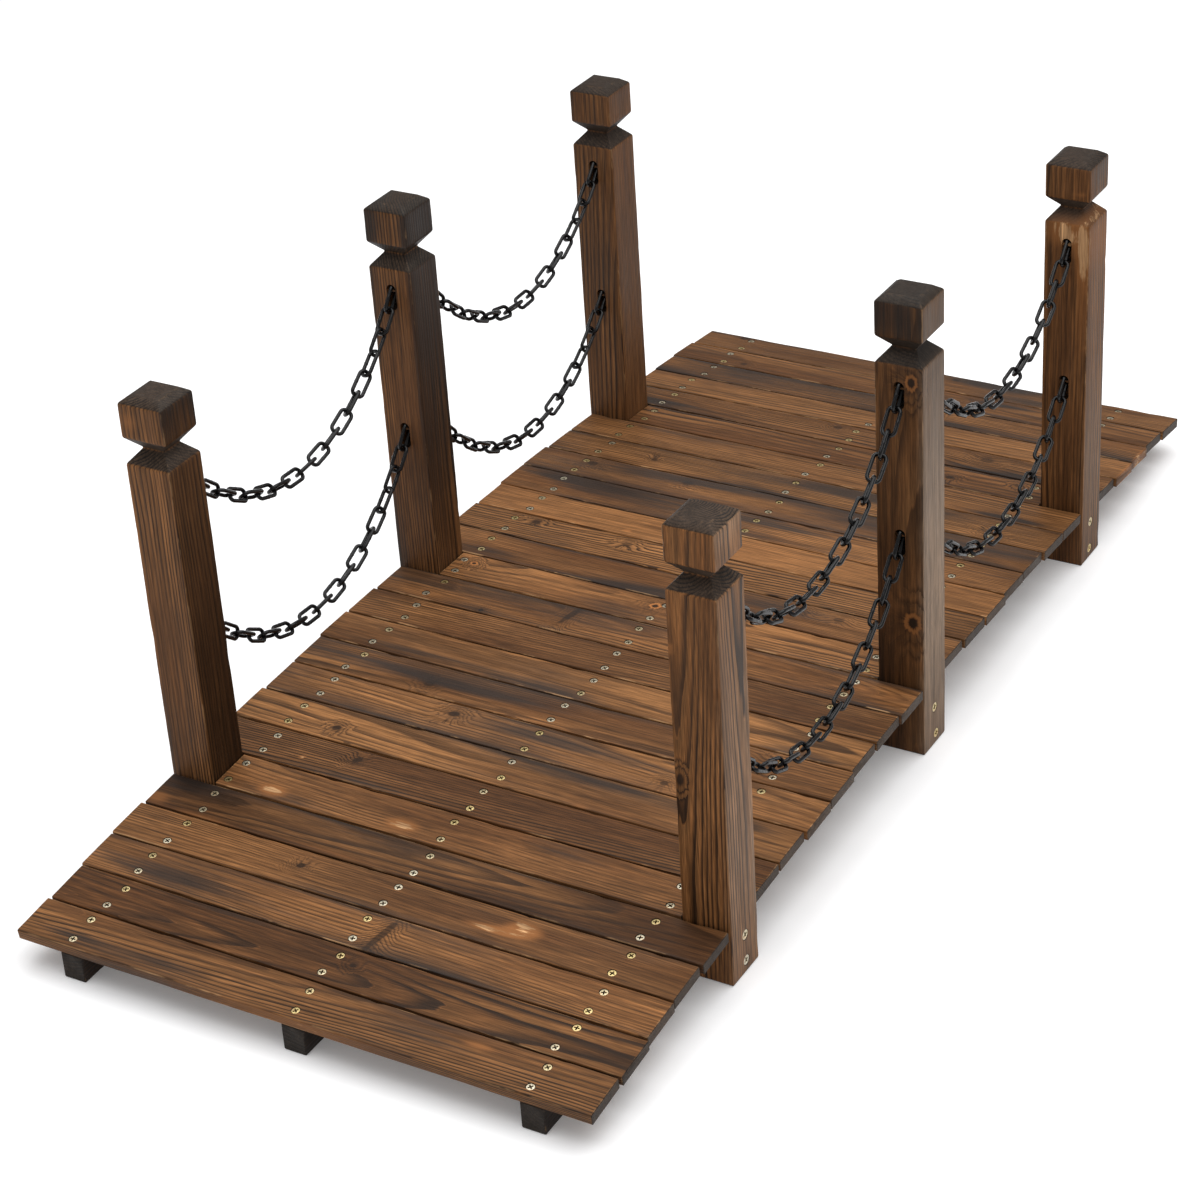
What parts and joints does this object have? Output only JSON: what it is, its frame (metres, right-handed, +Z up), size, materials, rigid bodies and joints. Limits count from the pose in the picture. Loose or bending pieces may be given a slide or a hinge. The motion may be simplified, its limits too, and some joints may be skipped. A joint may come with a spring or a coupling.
{
  "type": "arched garden footbridge with chain railings",
  "caption": "Small arched wooden footbridge: plank deck on arc-topped stringers, square posts with block finials, and black chains hanging between the posts on both sides.",
  "frame": {"origin": "on the ground under the middle of the deck, bottom centre of the bounding box", "axes": "+Y along the bridge from its front end to its rear end, +X across it to the right, +Z up"},
  "size_m": [0.67, 1.4996, 0.5405],
  "materials": {
    "stringer_wood": "dark stained softwood, rough sawn",
    "deck_wood": "brown stained, flamed softwood planks, satin",
    "post_wood": "brown stained, flamed softwood posts, satin",
    "chain_black": "glossy black coated steel chain",
    "pin_steel": "plain steel pins"
  },
  "bodies": {
    "root": {"stringer_left": "stringer_wood", "stringer_middle": "stringer_wood", "stringer_right": "stringer_wood", "deck_plank_01": "deck_wood", "deck_plank_02": "deck_wood", "deck_plank_03": "deck_wood", "deck_plank_04": "deck_wood", "deck_plank_05": "deck_wood", "deck_plank_06": "deck_wood", "deck_plank_07": "deck_wood", "deck_plank_08": "deck_wood", "deck_plank_09": "deck_wood", "deck_plank_10": "deck_wood", "deck_plank_11": "deck_wood", "deck_plank_12": "deck_wood", "deck_plank_13": "deck_wood", "deck_plank_14": "deck_wood", "deck_plank_15": "deck_wood", "deck_plank_16": "deck_wood", "deck_plank_17": "deck_wood", "deck_plank_18": "deck_wood", "deck_plank_19": "deck_wood", "deck_plank_20": "deck_wood", "deck_plank_21": "deck_wood", "deck_plank_22": "deck_wood", "deck_plank_23": "deck_wood", "deck_plank_24": "deck_wood", "deck_plank_25": "deck_wood", "deck_plank_26": "deck_wood", "deck_plank_27": "deck_wood", "post_left_front": "post_wood", "post_left_middle": "post_wood", "post_left_rear": "post_wood", "post_right_front": "post_wood", "post_right_middle": "post_wood", "post_right_rear": "post_wood", "chain_left_front_upper": "chain_black", "chain_left_front_lower": "chain_black", "chain_left_rear_upper": "chain_black", "chain_left_rear_lower": "chain_black", "chain_right_front_upper": "chain_black", "chain_right_front_lower": "chain_black", "chain_right_rear_upper": "chain_black", "chain_right_rear_lower": "chain_black", "chain_pins": "pin_steel"}
  },
  "joints": []
}
